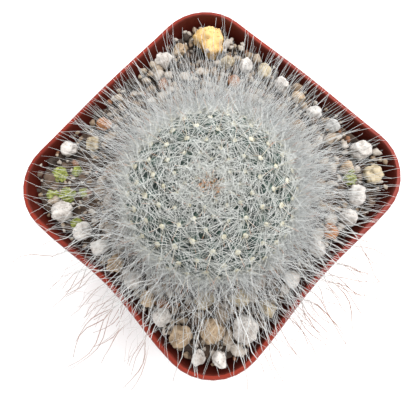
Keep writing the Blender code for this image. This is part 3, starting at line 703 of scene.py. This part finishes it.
hair = {  # widths are radii in mm, at the base and at the tip
    "seed": 30, "steps": 13, "from": math.radians(38.0), "grownFrom": math.radians(62.0),
    "perAreole": 16, "perYoung": 2, "length": 18.0 * mm, "shorter": 1.5,
    "nearFrom": -0.55, "nearOver": 1.1, "fullOver": math.radians(38.0),
    # five pairs of a least value and what is added to it
    "perAreoleSides": (0.84, 0.16), "lengthSpread": (0.40, 0.80), "youngLength": (0.40, 0.60),
    "nearLength": (1.04, 0.12), "nearFall": (0.4, 0.6),
    # ranges for chance, and fixed values
    "width": (0.039, 0.021), "rise": (20.0, 78.0), "sunk": 0.2 * mm,
    "outward": (0.2, 0.9), "outwardLift": 0.12, "pull": 0.5,
    "bend": (0.3, 2.4), "nearBend": (0.8, 4.6), "fall": 0.8,
    # hairs that trail over the rim
    "trailShare": 0.24, "trailFrom": 0.1, "trailOver": 0.45, "trailCluster": 1.3,
    "trailDown": 1.15, "trailGain": 1.18, "trailLengths": (0.75, 1.2),
    "trailWidth": (0.042, 0.108), "trailBend": (2.4, 6.0), "trailFall": 0.35,
    "trailPull": 1.3, "trailWave": 0.6, "endFrom": 0.65, "endThin": 0.6,
    "rimTintStart": 29.8 * mm, "rimTintEnd": 32.6 * mm,
}


def nearness(around):  # 1 towards the corner at -X -Y, -1 towards the one at +X +Y
    return -(np.cos(around) + np.sin(around)) / math.sqrt(2.0)


def outwardWays(around, lift):
    return np.stack([np.cos(around), np.sin(around), np.full(len(around), lift)], axis=-1)


def buildLongHair(places, frames, heights, material, part):
    rng = np.random.default_rng(hair["seed"] + part)
    tips, axes = frames[:2]
    grown = np.where(places[:, 0] > hair["from"])[0]
    least, added = hair["perAreoleSides"]
    full = hair["perAreole"] * (least + added * np.cos(places[grown, 1]))
    number = np.where(places[grown, 0] > hair["grownFrom"], full.astype(int), hair["perYoung"])
    owner = np.repeat(grown, number)[part::2]
    count = len(owner)
    down, around = places[owner, 0], places[owner, 1]
    ways = spreadWays(rng, frames, owner, hair["rise"])
    outward = outwardWays(around, hair["outwardLift"])
    ways = unit(ways + outward * rng.uniform(*hair["outward"], count)[:, None])
    # wavier and a little longer towards -X -Y, where some hairs trail over the rim
    facing = nearness(around)
    near = smoothStep((facing - hair["nearFrom"]) / hair["nearOver"])
    least, added = hair["youngLength"]
    high = least + added * smoothStep((down - hair["from"]) / hair["fullOver"])
    least, added = hair["lengthSpread"]
    lengths = hair["length"] * (least + added * rng.random(count) ** hair["shorter"])
    least, added = hair["nearLength"]
    lengths *= (least + added * near) * high
    clusters = smoothStep((facing - hair["trailFrom"]) / hair["trailOver"])
    clusters *= np.abs(np.cos(2.0 * around)) ** hair["trailCluster"]
    trailing = (rng.random(count) < hair["trailShare"] * clusters) & (down > hair["trailDown"])
    trails = trailing.sum()
    lengths[trailing] = (hair["trailGain"] * hair["length"]
                         * rng.uniform(*hair["trailLengths"], trails))
    bend = rng.uniform(*hair["bend"], count) + near * rng.uniform(*hair["nearBend"], count)
    bend[trailing] = rng.uniform(*hair["trailBend"], trails)
    least, added = hair["nearFall"]
    fall = rng.uniform(0.0, hair["fall"], count) * (least + added * near)
    fall[trailing] = hair["trailFall"]
    pull = outward * (hair["pull"] + hair["trailPull"] * trailing)[:, None]
    paths = growStrands(rng, tips[owner] - axes[owner] * hair["sunk"], ways, lengths,
                        hair["steps"], bend, fall, heights, pull=pull,
                        wave=1.0 + hair["trailWave"] * trailing)
    radii = tapered(count, hair["steps"] + 1, *hair["width"], rng)
    radii[trailing] = tapered(trails, hair["steps"] + 1, *hair["trailWidth"], rng)
    along = np.linspace(0, 1, hair["steps"] + 1)
    thin = smoothStep((along - hair["endFrom"]) / (1.0 - hair["endFrom"]))
    radii[trailing] *= 1.0 - hair["endThin"] * thin
    reach = {"start": hair["rimTintStart"], "end": hair["rimTintEnd"]}
    return tubesPiece("longHair" + "AB"[part], paths, radii, material, rng, 3, reach)


wool = {
    "seed": 50, "perAreole": 46, "from": math.radians(58.0), "steps": 7,
    "thinSide": 0.14, "sideSwing": 0.6,  # least share of the wool, on the -X side
    "length": 6.8 * mm, "lengths": (0.5, 1.3), "youngLength": (0.3, 0.7),  # least and added
    "farGain": (1.15, 0.25),  # usual length, and what the near corner loses
    "width": (0.021, 0.010), "rise": (5.0, 60.0), "outward": (0.2, 1.2), "outwardLift": 0.1,
    "bend": (0.2, 1.8), "fall": 0.2, "sunk": 0.3 * mm,
}


def buildWool(places, frames, heights, material):
    rng = np.random.default_rng(wool["seed"])
    tips, axes = frames[:2]
    flanks = np.where(places[:, 0] > wool["from"])[0]
    owner = np.repeat(flanks, wool["perAreole"])
    swing = smoothStep(0.5 + wool["sideSwing"] * np.cos(places[owner, 1]))
    thick = wool["thinSide"] + (1.0 - wool["thinSide"]) * swing
    owner = owner[rng.random(len(owner)) < thick]
    count = len(owner)
    down, around = places[owner, 0], places[owner, 1]
    young = youngShare(down, spines["youngLeast"])
    ways = spreadWays(rng, frames, owner, wool["rise"])
    outward = outwardWays(around, wool["outwardLift"])
    ways = unit(ways + outward * rng.uniform(*wool["outward"], count)[:, None])
    least, added = wool["youngLength"]
    lengths = wool["length"] * rng.uniform(*wool["lengths"], count) * (least + added * young)
    usual, lost = wool["farGain"]
    lengths *= usual - lost * nearness(around)
    bend = rng.uniform(*wool["bend"], count)
    paths = growStrands(rng, tips[owner] - axes[owner] * wool["sunk"], ways, lengths,
                        wool["steps"], bend, np.full(count, wool["fall"]), heights)
    radii = tapered(count, wool["steps"] + 1, *wool["width"], rng)
    return tubesPiece("curlyWool", paths, radii, material, rng)


lump = {"subdivisions": 2, "waves": 3, "waveScale": 2.3}


def lumpShape():
    bm = bmesh.new()
    bmesh.ops.create_icosphere(bm, subdivisions=lump["subdivisions"], radius=1.0)
    points = np.array([tuple(v.co) for v in bm.verts])
    faces = np.array([[v.index for v in f.verts] for f in bm.faces])
    bm.free()
    return points, faces


# Many small lumps as one piece; the three axes give each lump's size and turn.
def lumpsPiece(name, centres, axesX, axesY, axesZ, rough, material, rng, tints=None):
    shape, faces = lumpShape()
    count = len(centres)
    wave = rng.normal(size=(count, lump["waves"], 3))
    bumps = np.zeros((count, len(shape)))
    for k in range(lump["waves"]):
        bumps += np.sin(lump["waveScale"] * (k + 1) * (wave[:, k] @ shape.T) + k)
    size = 1.0 + rough * bumps / lump["waves"]
    body = shape[None] * size[:, :, None]
    points = (centres[:, None] + body[:, :, 0:1] * axesX[:, None]
              + body[:, :, 1:2] * axesY[:, None] + body[:, :, 2:3] * axesZ[:, None])
    shifted = faces[None] + (np.arange(count) * len(shape))[:, None, None]
    piece = meshPiece(name, points, np.zeros((0, 4)), shifted.reshape(-1, 3), material)
    if tints is not None:
        paintPoints(piece, "tint", np.repeat(tints, len(shape), axis=0))
    return piece


felt = {
    "seed": 61, "width": 0.50 * mm, "widths": (0.85, 1.15), "height": 0.24 * mm,
    "rough": 0.22, "lift": 0.05 * mm, "least": 0.35,
    "fibres": 10, "fibreSteps": 3, "fibreLength": 0.7 * mm, "fibreLengths": (0.6, 1.3),
    "fibreWidth": (0.04, 0.02), "fibreBend": 1.8, "fibreSpread": 1.4, "fibreReach": 0.8,
}
feltTint = {
    "deep": (0.46, 0.42, 0.30), "pale": (0.62, 0.60, 0.49), "cloudScale": 1800.0,
    "rough": 0.95, "bumpStrength": 0.9, "bumpDepth": 0.2 * mm,
}


def feltMaterial():
    material, tree, shader = newMaterial("areoleFelt")
    cloud = noiseInto(tree, feltTint["cloudScale"])
    colour = rampFrom(tree, cloud.outputs["Fac"],
                      [(0.35, feltTint["deep"]), (0.6, feltTint["pale"])])
    tree.links.new(colour.outputs["Color"], shader.inputs["Base Color"])
    finishSurface(tree, shader, cloud.outputs["Fac"], feltTint)
    return material


def buildFelt(places, frames, material, fibreMaterial, heights):
    rng = np.random.default_rng(felt["seed"])
    tips, axes, up, side = frames
    young = youngShare(places[:, 0], felt["least"])[:, None]
    width = felt["width"] * young * rng.uniform(*felt["widths"], (len(places), 1))
    pads = lumpsPiece("areolePads", tips + axes * felt["lift"], up * width, side * width,
                      axes * felt["height"] * young, felt["rough"], material, rng)
    owner = np.repeat(np.arange(len(places)), felt["fibres"])
    count = len(owner)
    angle = rng.uniform(0, fullTurn, count)
    spot = rng.uniform(0.0, felt["fibreReach"], count)[:, None] * width[owner]
    flat = up[owner] * np.cos(angle)[:, None] + side[owner] * np.sin(angle)[:, None]
    ways = unit(axes[owner] + flat * rng.uniform(0.0, felt["fibreSpread"], count)[:, None])
    lengths = felt["fibreLength"] * rng.uniform(*felt["fibreLengths"], count) * young[owner, 0]
    paths = growStrands(rng, tips[owner] + flat * spot, ways, lengths, felt["fibreSteps"],
                        np.full(count, felt["fibreBend"]), np.zeros(count), heights)
    radii = tapered(count, felt["fibreSteps"] + 1, *felt["fibreWidth"], rng)
    threads = tubesPiece("areoleFibres", paths, radii, fibreMaterial, rng)
    return pads, threads


compost = {
    "around": 200, "rings": 46, "hole": 10.95 * mm, "usualTop": 55.0 * mm,
    "edgeLevel": 53.0 * mm, "edgeFrom": 60.0,  # where the outline is felt for, from how many mm
    "rough": 0.42, "clods": 900.0, "crumbs": 2100.0, "crumbShare": 0.6,  # rough in mm
    "under": ((2.9, 0.70), (4.5, 0.735)),  # level in mm, and share of the outline's width
    "holeRings": ((10.35, 53.2), (9.15, 49.4), (6.35, 45.9)),  # radius and level in mm
    "probeFrom": 0.012, "probeTo": 0.99,
}


def buildCompost(material):
    source = nodes["soil"]
    faces = [tuple(p.vertices) for p in source.data.polygons]
    tree = BVHTree.FromPolygons([v.co for v in source.data.vertices], faces)
    middle = Vector((stem["x"], stem["y"]))
    edge = []
    for i in range(compost["around"]):
        angle = 2.0 * math.pi * i / compost["around"]
        way = Vector((math.cos(angle), math.sin(angle), 0.0))
        start = Vector((middle.x, middle.y, compost["edgeLevel"]))
        start += way * compost["edgeFrom"] * mm
        hit = tree.ray_cast(start, -way)
        edge.append(Vector((hit[0].x, hit[0].y)))
    points, count = [], compost["around"]
    for level, factor in compost["under"]:
        for spot in edge:
            points.append((spot.x * factor, spot.y * factor, level * mm))
    for ring in range(compost["rings"] + 1):
        share = ring / compost["rings"]
        for i, spot in enumerate(edge):
            angle = 2.0 * math.pi * i / count
            inner = middle + Vector((math.cos(angle), math.sin(angle))) * compost["hole"]
            flat = spot.lerp(inner, share)
            probe = spot.lerp(inner, min(max(share, compost["probeFrom"]), compost["probeTo"]))
            hit = tree.ray_cast(Vector((probe.x, probe.y, skyHigh)), Vector((0, 0, -1)))
            z = hit[0].z if hit[0] is not None else compost["usualTop"]
            if 0 < ring < compost["rings"]:
                rough = noise.noise(Vector((flat.x, flat.y, 0.2)) * compost["clods"])
                crumbs = noise.noise(Vector((flat.x, flat.y, 0.7)) * compost["crumbs"])
                z += (rough + compost["crumbShare"] * crumbs) * compost["rough"] * mm
            points.append((flat.x, flat.y, z))
    for radius, level in compost["holeRings"]:
        for i in range(count):
            angle = 2.0 * math.pi * i / count
            points.append((middle.x + radius * mm * math.cos(angle),
                           middle.y + radius * mm * math.sin(angle), level * mm))
    rings = len(points) // count
    index = np.arange(rings * count).reshape(rings, count)
    after = np.roll(index, -1, axis=1)
    quads = np.stack([index[:-1], after[:-1], after[1:], index[1:]], axis=-1).reshape(-1, 4)
    points.append((0.0, 0.0, compost["under"][0][0] * mm))
    points.append((middle.x, middle.y, compost["holeRings"][-1][1] * mm))
    hub = rings * count
    fan = [(hub, after[0, i], index[0, i]) for i in range(count)]
    fan += [(hub + 1, index[-1, i], after[-1, i]) for i in range(count)]
    return meshPiece("compost", points, quads, fan, material)


stones = {
    "levels": 2, "swell": 1.05, "rough": 0.24, "meanHalf": 3.4, "merge": 0.001 * mm,
    "hollows": 1.9, "pits": 6.5, "pitShare": 0.5, "hollowSeed": 1.7, "pitSeed": 2.9,
    "notched": "stone_ochre", "notch": 1.7, "notchSharp": 5,  # the notch opens towards -X
}


def buildStone(name, material, seed):
    bm = bmesh.new()
    bm.from_mesh(nodes[name].data)
    bmesh.ops.remove_doubles(bm, verts=bm.verts, dist=stones["merge"])
    mesh = bpy.data.meshes.new(name + "Rough")
    bm.to_mesh(mesh)
    bm.free()
    source = bpy.data.objects.new(name + "Rough", mesh)
    bpy.context.scene.collection.objects.link(source)
    modifier = source.modifiers.new("round", "SUBSURF")
    modifier.levels = modifier.render_levels = stones["levels"]
    bpy.context.view_layer.update()
    evaluated = source.evaluated_get(bpy.context.evaluated_depsgraph_get())
    rounded = bpy.data.meshes.new_from_object(evaluated)
    bpy.data.objects.remove(source)
    low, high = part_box(name)
    middle, half = (low + high) / 2.0, (high - low).length / stones["meanHalf"]
    for vert in rounded.vertices:
        out = (vert.co - middle) * stones["swell"]
        way = out.normalized()
        rough = noise.noise(way * stones["hollows"]
                            + Vector((seed * stones["hollowSeed"], 0.3, 0.9)))
        rough += stones["pitShare"] * noise.noise(way * stones["pits"]
                                                  + Vector((seed * stones["pitSeed"], 1.3, 0.1)))
        if name == stones["notched"]:
            rough -= stones["notch"] * max(0.0, -way.x) ** stones["notchSharp"]
        vert.co = middle + out + way * rough * stones["rough"] * half
        vert.co.z = max(vert.co.z, low.z)
    rounded.materials.clear()
    rounded.materials.append(material)
    rounded.shade_smooth()
    piece = bpy.data.objects.new(name + "_rounded", rounded)
    bpy.context.scene.collection.objects.link(piece)
    return piece


grit = {
    "seed": 71, "count": 1650, "small": 0.34, "large": 1.6, "sizePower": 2.4,  # radii in mm
    "half": 30.4 * mm, "corner": 20.6 * mm, "sag": 1.7 * mm, "stemClear": 12.4 * mm,
    "stoneShare": 0.92, "ownShare": 0.6, "low": 52.0 * mm, "high": 60.4 * mm,
    "bareFrom": 35.0 * mm, "bareShare": 0.6,  # barer compost in the two side corners
    "pileFrom": 25.5 * mm, "pileShare": 0.6, "pile": 1.4 * mm,  # against the far walls
    "lift": 0.35, "tilt": 0.3, "long": 1.15, "broad": (0.75, 1.0), "thick": 0.75, "rough": 0.5,
    "tints": ((0.46, 0.41, 0.36), (0.36, 0.29, 0.22), (0.25, 0.18, 0.12), (0.12, 0.08, 0.055),
              (0.045, 0.03, 0.022), (0.26, 0.12, 0.06)),
    "tintShares": (0.28, 0.20, 0.18, 0.16, 0.13, 0.05),
}


def sagAt(along):  # how far the two near walls come in
    return grit["sag"] * math.cos(min(1.0, abs(along) / grit["corner"]) * math.pi / 2) ** 2


def insidePot(x, y, radius):
    if max(x, y, sagAt(y) - x, sagAt(x) - y) > grit["half"] - radius:
        return False
    past = math.hypot(max(0.0, abs(x) - grit["corner"]), max(0.0, abs(y) - grit["corner"]))
    return past <= grit["half"] - grit["corner"] - radius


def buildGrit(bare, material):
    rng = np.random.default_rng(grit["seed"])
    taken = []
    for name in nodes:
        if name.startswith(("stone", "bark")):
            low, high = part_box(name)
            taken.append(((low.x + high.x) / 2, (low.y + high.y) / 2, (high.x - low.x) / 2))
    centres, sizes, tints = [], [], []
    while len(centres) < grit["count"]:
        x, y = rng.uniform(-grit["half"], grit["half"], 2)
        spread = (grit["large"] - grit["small"]) * rng.random() ** grit["sizePower"]
        radius = mm * (grit["small"] + spread)
        if math.hypot(x - stem["x"], y - stem["y"]) < grit["stemClear"] + radius:
            continue
        if not insidePot(x, y, radius):
            continue
        if any(math.hypot(x - a, y - b) < c * grit["stoneShare"] + radius * grit["ownShare"]
               for a, b, c in taken):
            continue
        z = heightUnder(np.array([[x, y, 0.0]]), bare)[0]
        if not grit["low"] < z < grit["high"]:
            continue
        if abs(x - y) > grit["bareFrom"] and rng.random() < grit["bareShare"]:
            continue
        piled = max(x, y) > grit["pileFrom"] and rng.random() < grit["pileShare"]
        centres.append((x, y, z + grit["lift"] * radius + grit["pile"] * piled))
        sizes.append(radius)
        tint = rng.choice(len(grit["tints"]), p=grit["tintShares"])
        tints.append(grit["tints"][tint])
        taken.append((x, y, radius * grit["ownShare"]))
    count = len(centres)
    turn = rng.uniform(0, fullTurn, count)
    tilt = rng.uniform(-grit["tilt"], grit["tilt"], count)
    across = unit(np.stack([np.cos(turn), np.sin(turn), tilt], axis=-1))
    forth = unit(np.cross(np.array([0.0, 0.0, 1.0]), across))
    upward = np.cross(across, forth)
    scale = np.array(sizes)[:, None]
    return lumpsPiece("smallGrit", np.array(centres), across * scale * grit["long"],
                      forth * scale * rng.uniform(*grit["broad"], (count, 1)),
                      upward * scale * grit["thick"], grit["rough"], material, rng,
                      np.array(tints))


moss = {
    "seed": 83,
    # x, y and radius of each clump in mm
    "clumps": ((-21.6, 25.4, 1.6), (-25.6, 23.0, 1.1), (-23.6, 20.6, 1.4), (-20.6, 18.4, 0.8),
               (21.0, -22.4, 1.2), (-26.4, 14.8, 0.8), (-18.4, 23.2, 0.8)),
    "leaves": 60, "leafSize": 0.46, "leafSizes": (0.6, 1.3), "long": 1.5, "thick": 0.5,
    "rough": 0.25, "high": 60.5 * mm, "dome": 0.75, "domeChance": (0.5, 1.0),
    "dark": (0.16, 0.19, 0.04), "light": (0.52, 0.55, 0.15), "lightLow": 0.35,
}


def buildMoss(bare, material):
    rng = np.random.default_rng(moss["seed"])
    centres, sizes, tints = [], [], []
    for x, y, wide in moss["clumps"]:
        for leaf in range(int(moss["leaves"] * wide)):
            angle, away = rng.uniform(0, fullTurn), wide * math.sqrt(rng.random())
            px, py = (x + away * math.cos(angle)) * mm, (y + away * math.sin(angle)) * mm
            z = heightUnder(np.array([[px, py, 0.0]]), bare)[0]
            if z > moss["high"]:
                continue
            lift = moss["dome"] * wide * (1.0 - (away / wide) ** 2)
            lift *= rng.uniform(*moss["domeChance"])
            centres.append((px, py, z + lift * mm))
            sizes.append(moss["leafSize"] * rng.uniform(*moss["leafSizes"]))
            low = moss["lightLow"]
            light = rng.random() * (low + (1.0 - low) * lift / wide)
            tints.append([a + (b - a) * light for a, b in zip(moss["dark"], moss["light"])])
    count = len(centres)
    across = unit(rng.normal(size=(count, 3)))
    forth = unit(np.cross(across, rng.normal(size=(count, 3))))
    upward = np.cross(across, forth)
    scale = np.array(sizes)[:, None] * mm
    return lumpsPiece("mossTufts", np.array(centres), across * scale * moss["long"],
                      forth * scale, upward * scale * moss["thick"], moss["rough"], material, rng,
                      np.array(tints))


fibres = {
    "seed": 91, "count": 190, "steps": 5,
    "length": 4.2 * mm, "lengths": (0.4, 1), "width": (0.05, 0.03),
    "half": 27.0 * mm, "stemClear": 13.5 * mm, "low": 52.0 * mm, "high": 59.3 * mm,
    "lift": 0.1 * mm, "rise": (-0.1, 0.25), "bend": (0.5, 2.5), "fall": 0.4,
    "clear": 0.05 * mm, "farEdge": 29.0 * mm, "nearEdge": -27.4 * mm,
}


def buildFibres(bare, material):
    rng = np.random.default_rng(fibres["seed"])
    bases = []
    while len(bases) < fibres["count"]:
        x, y = rng.uniform(-fibres["half"], fibres["half"], 2)
        z = heightUnder(np.array([[x, y, 0.0]]), bare)[0]
        away = math.hypot(x - stem["x"], y - stem["y"])
        if away > fibres["stemClear"] and fibres["low"] < z < fibres["high"]:
            bases.append((x, y, z + fibres["lift"]))
    count = len(bases)
    turn = rng.uniform(0, fullTurn, count)
    ways = np.stack([np.cos(turn), np.sin(turn), rng.uniform(*fibres["rise"], count)], axis=-1)
    lengths = fibres["length"] * rng.uniform(*fibres["lengths"], count)
    bend = rng.uniform(*fibres["bend"], count)
    paths = growStrands(rng, np.array(bases), ways, lengths, fibres["steps"], bend,
                        np.full(count, fibres["fall"]), bare, fibres["clear"])
    paths[..., :2] = np.clip(paths[..., :2], fibres["nearEdge"], fibres["farEdge"])
    radii = tapered(count, fibres["steps"] + 1, *fibres["width"], rng)
    return tubesPiece("peatFibres", paths, radii, material, rng)


print("materials")
plastic = potPlastic()
skin = cactusSkin()
whiteSpine = strandMaterial("whiteSpines")
centralSpine = strandMaterial("brownTippedSpines")
apexSpine = strandMaterial("orangeSpines")
fibreLook = strandMaterial("peatFibreLook")
hairLook = strandMaterial("longWhiteHair", tintedPastRim=True)
woolLook = strandMaterial("curlyWoolLook")
feltLook = feltMaterial()
feltFibre = strandMaterial("feltFibres")
compostLook = compostMaterial()
gritLook = gritMaterial()
stoneMaterials = {name: stoneMaterial(name, *tints) for name, tints in stoneTints.items()}

for potSlot in nodes["pot"].material_slots:
    potSlot.material = plastic

print("ground map")
bareGround, hairGround = groundMap()

print("stem")
places = tuberclePlaces()
frames = areoleFrames(places)
settle(buildStem(places, skin), "cactus")

print("spines and hair")
for part in (0, 1):
    settle(buildRadials(places, frames, hairGround, whiteSpine, part))
settle(buildApexTuft(hairGround, apexSpine))
settle(buildCentrals(places, frames, hairGround, centralSpine))
for part in (0, 1):
    settle(buildLongHair(places, frames, hairGround, hairLook, part))
settle(buildWool(places, frames, hairGround, woolLook))
for piece in buildFelt(places, frames, feltLook, feltFibre, hairGround):
    settle(piece)

print("compost and stones")
settle(buildCompost(compostLook), "soil")
slotOf = {row["node"]: row["material_slot"] for row in frame["record"]["subparts"]}
for seed, name in enumerate(sorted(nodes)):
    if name.startswith(("stone", "bark")):
        settle(buildStone(name, stoneMaterials[slotOf[name]], seed), name)
settle(buildGrit(bareGround, gritLook))
settle(buildMoss(bareGround, gritLook))
settle(buildFibres(bareGround, fibreLook))


studio = {
    "sky": 0.94, "lamp": 2.9, "lampSize": 0.4, "lampPlace": (0.21, -0.02, 0.43),
    "lampAim": (0.0, 0.0, 0.06), "floorHalf": 2.5, "floorTones": (0.955, 0.97),
    "floorRough": 0.8, "floorScale": 6.0,
}
view = {
    "place": (-0.01312, -0.01881, 0.140),
    "aim": (-0.004659, -0.004636, 0.060),
    "upward": (0.72212, 0.66398, 0.19409),  # what points up in the picture
    "lens": 33.32, "sensor": 36.0, "nearest": 0.005,
}


def buildFloor():
    material, tree, shader = newMaterial("paleFloor")
    dim, bright = studio["floorTones"]
    cloud = noiseInto(tree, studio["floorScale"], 3.0)
    colour = rampFrom(tree, cloud.outputs["Fac"], [(0.3, grey(dim)), (0.7, grey(bright))])
    tree.links.new(colour.outputs["Color"], shader.inputs["Base Color"])
    shader.inputs["Roughness"].default_value = studio["floorRough"]
    wide = studio["floorHalf"]
    points = [(-wide, -wide, 0.0), (wide, -wide, 0.0), (wide, wide, 0.0), (-wide, wide, 0.0)]
    floor = meshPiece("floor", points, [(0, 1, 2, 3)], np.zeros((0, 3)), material, False)


def lightStudio():
    world = bpy.data.worlds.new("softRoom")
    world.use_nodes = True
    background = world.node_tree.nodes["Background"]
    background.inputs["Color"].default_value = (1.0, 1.0, 1.0, 1.0)
    background.inputs["Strength"].default_value = studio["sky"]
    bpy.context.scene.world = world
    lamp = bpy.data.lights.new("softBox", "AREA")
    lamp.energy = studio["lamp"]
    lamp.size = studio["lampSize"]
    holder = bpy.data.objects.new("softBox", lamp)
    holder.location = studio["lampPlace"]
    towards = Vector(studio["lampAim"]) - holder.location
    holder.rotation_mode = "QUATERNION"
    holder.rotation_quaternion = towards.to_track_quat("-Z", "Y")
    bpy.context.scene.collection.objects.link(holder)


def placeCamera():
    camera = bpy.data.cameras.new("overheadView")
    camera.lens = view["lens"]
    camera.sensor_width = view["sensor"]
    camera.clip_start = view["nearest"]
    camera.dof.use_dof = False
    holder = bpy.data.objects.new("overheadView", camera)
    place, aim = Vector(view["place"]), Vector(view["aim"])
    back = (place - aim).normalized()
    right = Vector(view["upward"]).cross(back).normalized()
    up = back.cross(right)
    turn = Matrix((right, up, back)).transposed().to_4x4()
    holder.matrix_world = Matrix.Translation(place) @ turn
    bpy.context.scene.collection.objects.link(holder)
    bpy.context.scene.camera = holder


print("studio")
buildFloor()
lightStudio()
placeCamera()
bpy.context.scene.view_settings.view_transform = "Standard"

print("done")
